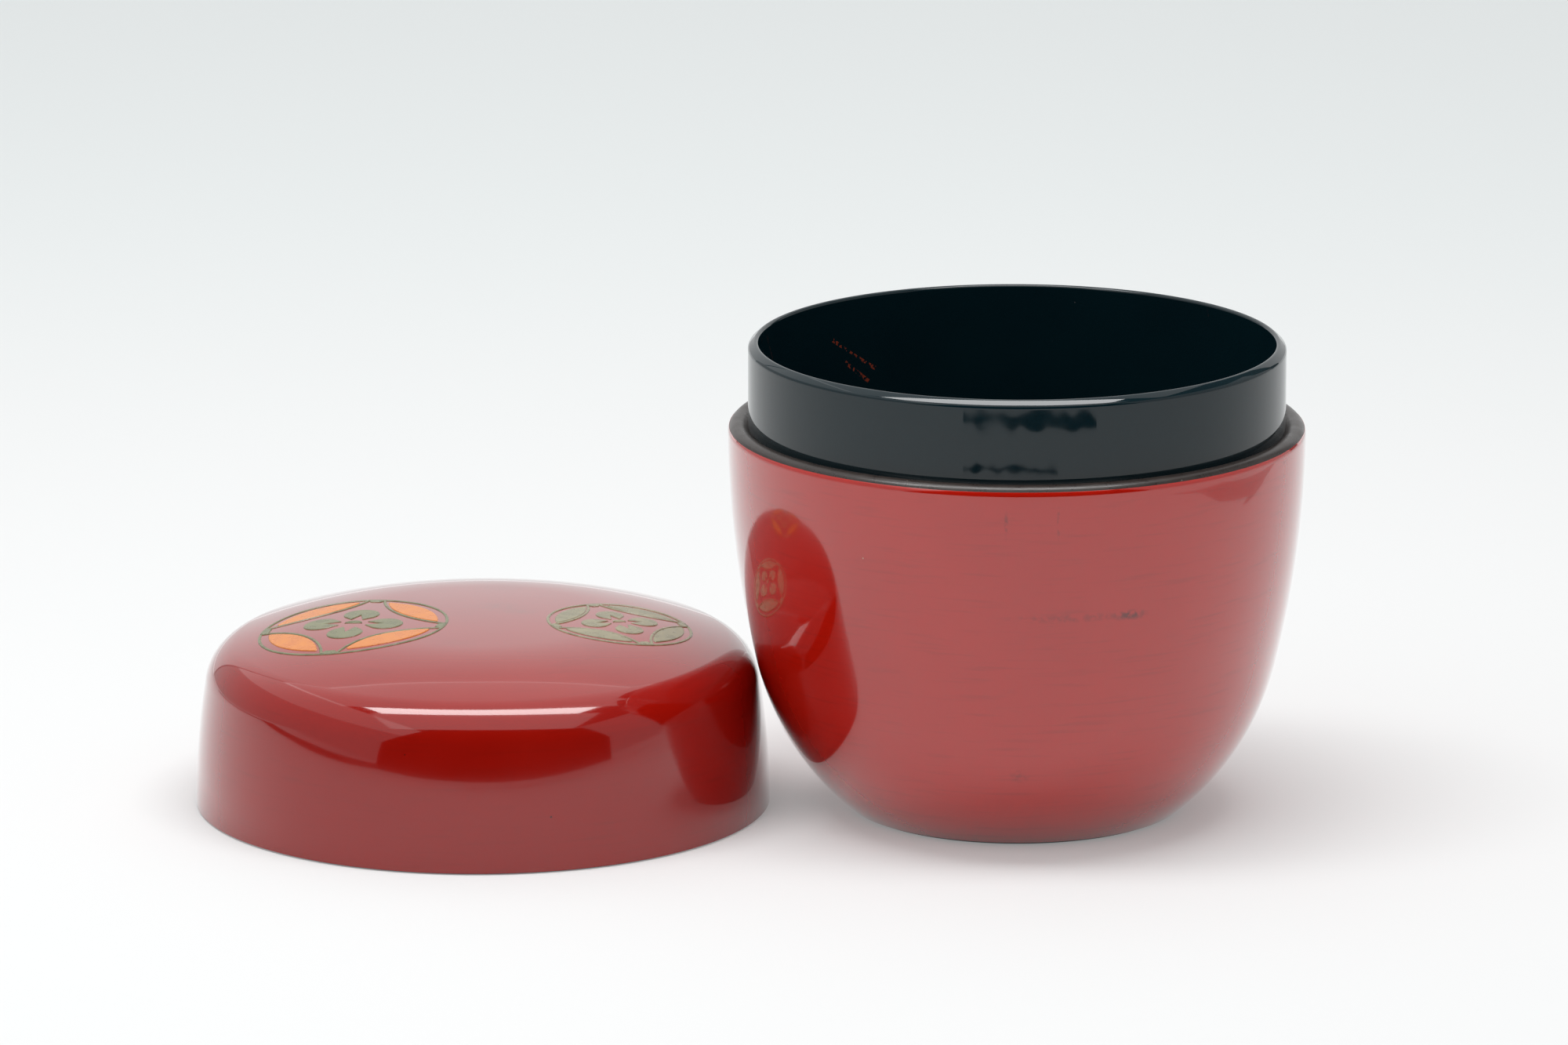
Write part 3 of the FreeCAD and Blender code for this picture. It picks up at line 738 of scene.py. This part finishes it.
class Roundel:
    """The place and sizes of one roundel, and the shapes that it is drawn from."""

    def __init__(self, place, turn, radius, bow, rim_gap, bow_gap, heel, reach, width, eye):
        self.origin = Vector((LID_X + place[0], place[1], ABOVE_LID))
        self.turn = math.radians(turn)
        self.radius = radius
        self.bow = bow
        self.rim_gap = rim_gap
        self.bow_gap = bow_gap
        self.heel = heel
        self.reach = reach
        self.width = width
        self.eye = eye

    def axes(self, quarter):
        angle = self.turn + quarter * math.pi / 2
        across = Vector((math.cos(angle), math.sin(angle), 0))
        return across, Vector((-across.y, across.x, 0))

    def fill(self, quarter, outline):
        """A closed shape, filled in."""
        draw(outline, self.origin, *self.axes(quarter), hold=0)
        bpy.ops.mesh.edge_face_add()

    def stroke(self, quarter, centre, start, end, sweep):
        """A line of the brush: its width drawn across, and swept about a centre."""
        across, up = self.axes(quarter)
        draw([start, end], self.origin, across, up, hold=0)
        pivot = self.origin + centre[0] * across + centre[1] * up
        steps = math.ceil(abs(sweep) / ARC_STEP_ANGLE)
        bpy.ops.mesh.spin(steps=steps, angle=sweep, center=pivot, axis=up.cross(across))

    def outline(self):
        """The ring, the four bows inside it and the patches where they meet it."""
        r = self.radius
        inner = Vector((r - LINE / 2, 0))
        self.stroke(0, (0, 0), inner, inner + Vector((LINE, 0)), FULL_TURN)
        both = math.cos(BOW_SPREAD) + math.sin(BOW_SPREAD)
        middle = (r * both + math.sqrt((r * both) ** 2 - 2 * (r**2 - self.bow**2))) / 2
        bow_centre = Vector((middle, middle))
        leaves_ring = Vector((r * math.cos(BOW_SPREAD), r * math.sin(BOW_SPREAD)))
        first = (leaves_ring - bow_centre).normalized()
        last = Vector((first.y, first.x))
        rim = r + PATCH_OVER_RING
        top_x = rim * math.cos(PATCH_SPREAD)
        top_y = rim * math.sin(PATCH_SPREAD)
        foot_x = r - PATCH_LENGTH
        foot_y = PATCH_TAPER * r * math.sin(PATCH_SPREAD)
        for quarter in range(4):
            near = bow_centre + (self.bow - LINE / 2) * first
            far = bow_centre + (self.bow + LINE / 2) * first
            self.stroke(quarter, bow_centre, near, far, -first.angle_signed(last))
            self.fill(
                quarter,
                [
                    (top_x, -top_y),
                    (top_x, top_y, (0, 0)),
                    (foot_x, foot_y),
                    (foot_x, -foot_y),
                    (top_x, -top_y),
                ],
            )

    def petals(self):
        """Four pointed petals between the ring and the bows, their tips a little blunt."""
        r = self.radius
        middle = (r + math.sqrt(2 * self.bow**2 - r**2)) / 2
        rim = r - self.rim_gap
        edge = self.bow - self.bow_gap
        total = (rim**2 - edge**2) / (2 * middle) + middle
        apart = math.sqrt(2 * rim**2 - total**2)
        tip = Vector(((total + apart) / 2, (total - apart) / 2))
        centre = Vector((middle, middle))
        outer = math.atan2(tip.y, tip.x) + TIP / rim
        inner = math.atan2(tip.y - middle, tip.x - middle) - TIP / edge
        outer_end = rim * Vector((math.cos(outer), math.sin(outer)))
        inner_end = centre + edge * Vector((math.cos(inner), math.sin(inner)))
        for quarter in range(4):
            self.fill(
                quarter,
                [
                    tuple(outer_end),
                    (outer_end.y, outer_end.x, (0, 0)),
                    (inner_end.y, inner_end.x),
                    (*inner_end, centre),
                    tuple(outer_end),
                ],
            )

    def flower(self):
        """Four plump petals, each slit at its heel, about a small eye."""
        plump = self.width / 2
        middle = (self.reach - plump, 0)
        side = (middle[0] + PETAL_ROUND_START[0] * plump, PETAL_ROUND_START[1] * plump)
        slit = self.heel + PETAL_SLIT * (self.reach - self.heel)
        prong = PETAL_PRONG * self.width
        for quarter in range(4):
            self.fill(
                quarter,
                [
                    (slit, 0),
                    (self.heel, prong),
                    side,
                    (self.reach, 0, middle),
                    (side[0], -side[1], middle),
                    (self.heel, -prong),
                    (slit, 0),
                ],
            )
        self.fill(0, [(self.eye, 0), (-self.eye, HAIR, (0, 0)), (self.eye, 0, (0, 0))])

    def laid(self, name, shapes, slot, paint):
        """Draw the shapes with a thin brush edge round each, lay them on the lid and give them a film."""
        piece = new_piece(name)
        shapes()
        bpy.ops.mesh.select_all(action="DESELECT")
        bpy.ops.object.mode_set(mode="OBJECT")
        for face in piece.data.polygons:
            face.select = face.normal.z < 0
        bpy.ops.object.mode_set(mode="EDIT")
        bpy.ops.mesh.flip_normals()
        bpy.ops.mesh.select_all(action="SELECT")
        bpy.ops.mesh.inset(thickness=BRUSH_EDGE)
        raised = piece.vertex_groups.new(name="raised")
        piece.vertex_groups.active = raised
        bpy.ops.object.vertex_group_assign()
        belongs(piece, "lid", slot, paint, brush_edge)
        bpy.ops.mesh.select_all(action="INVERT")
        piece.active_material_index = 1
        bpy.ops.object.material_slot_assign()
        bpy.ops.mesh.select_all(action="SELECT")
        bpy.ops.mesh.quads_convert_to_tris(ngon_method="BEAUTY")
        bpy.ops.mesh.subdivide(number_cuts=1)
        bpy.ops.object.mode_set(mode="OBJECT")
        bpy.ops.object.modifier_add(type="SHRINKWRAP")
        laying = piece.modifiers[-1]
        laying.target = lid_red
        laying.wrap_method = "PROJECT"
        laying.use_project_z = True
        laying.use_negative_direction = True
        laying.use_positive_direction = False
        laying.offset = -SUNK
        bpy.ops.object.modifier_apply(modifier=laying.name)
        bpy.ops.object.modifier_add(type="SOLIDIFY")
        film = piece.modifiers[-1]
        film.thickness = FILM
        film.offset = 1.0
        film.vertex_group = "raised"
        film.thickness_vertex_group = FILM_AT_EDGE
        bpy.ops.object.modifier_apply(modifier=film.name)
        bpy.ops.object.shade_smooth_by_angle(angle=SMOOTH_ANGLE)


left = Roundel(
    place=(-15.5 * MM, -3.75 * MM),
    turn=-11.8,
    radius=11.4 * MM,
    bow=13.35 * MM,
    rim_gap=1.1 * MM,
    bow_gap=1.45 * MM,
    heel=1.65 * MM,
    reach=6.2 * MM,
    width=4.4 * MM,
    eye=1.1 * MM,
)
right = Roundel(
    place=(16.8 * MM, -2.15 * MM),
    turn=24.4,
    radius=8.7 * MM,
    bow=10.2 * MM,
    rim_gap=0.85 * MM,
    bow_gap=1.1 * MM,
    heel=1.25 * MM,
    reach=4.9 * MM,
    width=3.45 * MM,
    eye=0.85 * MM,
)
left.laid("left_roundel_outline_finish", left.outline, "green_lacquer", green)
left.laid("left_roundel_petals_finish", left.petals, "orange_lacquer", orange)
left.laid("left_roundel_flower_finish", left.flower, "green_lacquer", green)
right.laid("right_roundel_outline_finish", right.outline, "green_lacquer", pale_green)
right.laid("right_roundel_petals_finish", right.petals, "green_lacquer", pale_green)
right.laid("right_roundel_flower_finish", right.flower, "green_lacquer", pale_green)

# The stage: the floor, cloths that the gloss mirrors, and soft lights

FLOOR_SIZE = 6.0
FLOOR_BELOW = 0.05 * MM
PAPER_SHADE_FADE = (0.14, 0.38)
PAPER_GLOW = 0.25


def floor_material():
    """Matt white paper, which keeps the shadows; its colour fades to a cool grey behind the caddy as
    painted shade of the backdrop further back.
    """
    material, tree = new_material("white_paper")
    place = add(tree, "TexCoord", give="Object")
    depth = add(tree, "SeparateXYZ", {"Vector": place}, "Y")
    # Painted shade: the paper turns a cooler grey further back.
    fade = ranged(tree, depth, PAPER_SHADE_FADE, (0.0, 1.0), interpolation_type="SMOOTHSTEP")
    colour = blended(tree, fade, srgb("#FBFCFC"), srgb("#F8FCFC"))
    light = add(tree, "LightPath", give="Is Camera Ray")
    seen = add(tree, "Math", {0: light, 1: light.node.outputs["Is Glossy Ray"]}, operation="MAXIMUM")
    share = times(tree, seen, PAPER_GLOW)
    paper_grey = {"Factor": 1.0, "A": colour, "B": srgb("#E8E8E8")}
    soaked = add(tree, "Mix", paper_grey, data_type="RGBA", blend_type="MULTIPLY")
    paper = add(tree, "BsdfDiffuse", {"Color": soaked})
    glow = add(tree, "Emission", {"Color": colour, "Strength": 1.0})
    shader = add(tree, "MixShader", {0: share, 1: paper, 2: glow})
    add(tree, "OutputMaterial", {"Surface": shader})
    return material


bpy.ops.object.select_all(action="DESELECT")
bpy.ops.mesh.primitive_plane_add(size=FLOOR_SIZE, location=(0, 0, -FLOOR_BELOW))
floor = bpy.context.object
floor.name = "floor"
floor.data.materials.append(floor_material())


def felt(name, colour):
    """Matt felt of one colour."""
    material, tree = new_material(name)
    cloth = add(tree, "BsdfDiffuse", {"Color": srgb(colour)})
    add(tree, "OutputMaterial", {"Surface": cloth})
    return material


def only_mirrored(card, material):
    """Finish a cloth that only the gloss sees."""
    card.data.materials.append(material)
    card.visible_camera = False
    card.visible_shadow = False
    card.visible_diffuse = False


def flat_card(name, material, outline, origin, across, up):
    """A cloth cut to an outline."""
    card = new_piece(name)
    draw(outline, Vector(origin), across, up, hold=0)
    bpy.ops.mesh.edge_face_add()
    bpy.ops.object.mode_set(mode="OBJECT")
    only_mirrored(card, material)


STRIP_CENTRE = (BOWL_X, -0.03, MM)
STRIP_START = -math.pi / 2 - 0.42
STRIP_STEPS = 8
STRIP_SEED = 5


def ragged_strip(name, material, near, far, sweep, ragged):
    """A strip of cloth on the table before the bowl, bent round it, with softly torn edges."""
    card = new_piece(name)
    ray = Vector((math.cos(STRIP_START), math.sin(STRIP_START)))
    middle = Vector(STRIP_CENTRE)
    draw([tuple(near * ray), tuple(far * ray)], middle, X_AXIS, Y_AXIS, hold=0)
    bpy.ops.mesh.spin(steps=STRIP_STEPS, angle=sweep, center=middle, axis=(0, 0, -1))
    bpy.ops.mesh.select_all(action="SELECT")
    bpy.ops.mesh.subdivide(number_cuts=1)
    bpy.ops.transform.vertex_random(offset=ragged, uniform=1.0, seed=STRIP_SEED)
    bpy.ops.transform.resize(value=(1, 1, 0), center_override=(0, 0, MM))
    bpy.ops.mesh.subdivide(number_cuts=3)
    bpy.ops.mesh.vertices_smooth(factor=0.5, repeat=4)
    bpy.ops.object.mode_set(mode="OBJECT")
    only_mirrored(card, material)


black_felt = felt("black_felt", "#060606")
grey_felt = felt("grey_felt", "#B4B4B4")

# The dark opening of the light tent, as the lid's shoulder and the collar's rim mirror it
flat_card(
    "dark_front",
    black_felt,
    [(-0.42, 0), (0.62, 0), (0.62, 0.06), (0.46, 0.41), (-0.2, 0.41), (-0.36, 0.1), (-0.42, 0)],
    origin=(0, -0.46, 0),
    across=X_AXIS,
    up=Z_AXIS,
)

# The seam between the left wall and the table, as the lid mirrors it
flat_card(
    "dark_left_seam",
    black_felt,
    [(0.36, 0), (-0.46, 0), (-0.46, 0.008), (0.36, 0.004), (0.36, 0)],
    origin=(-0.40, 0, 0),
    across=Y_AXIS,
    up=Z_AXIS,
)

# A grey cloth on the table, as the bowl mirrors it under its seam
flat_card(
    "grey_table_cloth",
    grey_felt,
    [
        (0.205, -0.112),
        (0.24, -0.025),
        (0.225, 0.1),
        (0.205, 0.045),
        (0.196, 0.01),
        (0.205, 0.02),
        (0.205, -0.028),
        (0.215, -0.062),
        (0.205, -0.112),
    ],
    origin=(0, 0, MM),
    across=X_AXIS,
    up=Y_AXIS,
)

# The dark blots that the collar mirrors
ragged_strip("dark_table_edge", black_felt, near=0.230, far=0.241, sweep=1.05, ragged=0.004)
ragged_strip("dark_table_mark", black_felt, near=0.203, far=0.207, sweep=0.75, ragged=0.002)


def soft_light(name, place, aim, size, brightness):
    """An even rectangular light of that brightness, facing a point."""
    bpy.ops.object.select_all(action="DESELECT")
    bpy.ops.object.light_add(type="AREA", location=place)
    light = bpy.context.object
    light.name = light.data.name = name
    light.data.shape = "RECTANGLE"
    light.data.size, light.data.size_y = size
    light.data.energy = brightness * math.pi * size[0] * size[1]
    light.rotation_euler = (Vector(aim) - Vector(place)).to_track_quat("-Z", "Y").to_euler()
    light.visible_camera = False


# Each light's name, place, the point that it faces, its width and height, and its brightness
LIGHTS = [
    ("lamp", (-0.03, -0.06, 0.62), (-0.03, -0.06, 0.0), (0.64, 0.16), 9.2),
    ("front_ceiling", (0.0, -0.30, 0.51), (0.0, -0.05, 0.15), (0.80, 0.40), 0.9),
    ("back_ceiling", (0.0, 0.33, 0.63), (0.0, 0.33, 0.0), (0.90, 0.60), 0.8),
    ("left_wall", (-0.42, -0.12, 0.15), (0.0, -0.12, 0.15), (1.44, 0.30), 0.36),
    ("left_wall_top", (-0.42, -0.12, 0.46), (0.0, -0.12, 0.46), (1.44, 0.32), 0.72),
    ("right_wall", (0.63, -0.12, 0.30), (0.0, -0.12, 0.30), (1.44, 0.60), 0.36),
    ("back_wall", (0.03, 0.62, 0.315), (0.03, 0.0, 0.315), (0.90, 0.63), 0.66),
]
for light in LIGHTS:
    soft_light(*light)

# A faint even light from all round
world = bpy.data.worlds.new("studio")
bpy.context.scene.world = world
world.use_nodes = True
world.node_tree.nodes.clear()
surround = add(world.node_tree, "Background", {"Color": srgb("#E4EAEC"), "Strength": 0.12})
add(world.node_tree, "OutputWorld", {"Surface": surround})

# The camera of the photograph
bpy.ops.object.camera_add(location=CAMERA_PLACE, rotation=(CAMERA_TILT, 0, CAMERA_TURN))
camera = bpy.context.object
camera.data.lens = CAMERA_LENS
bpy.context.scene.camera = camera
bpy.context.scene.view_settings.view_transform = "Standard"
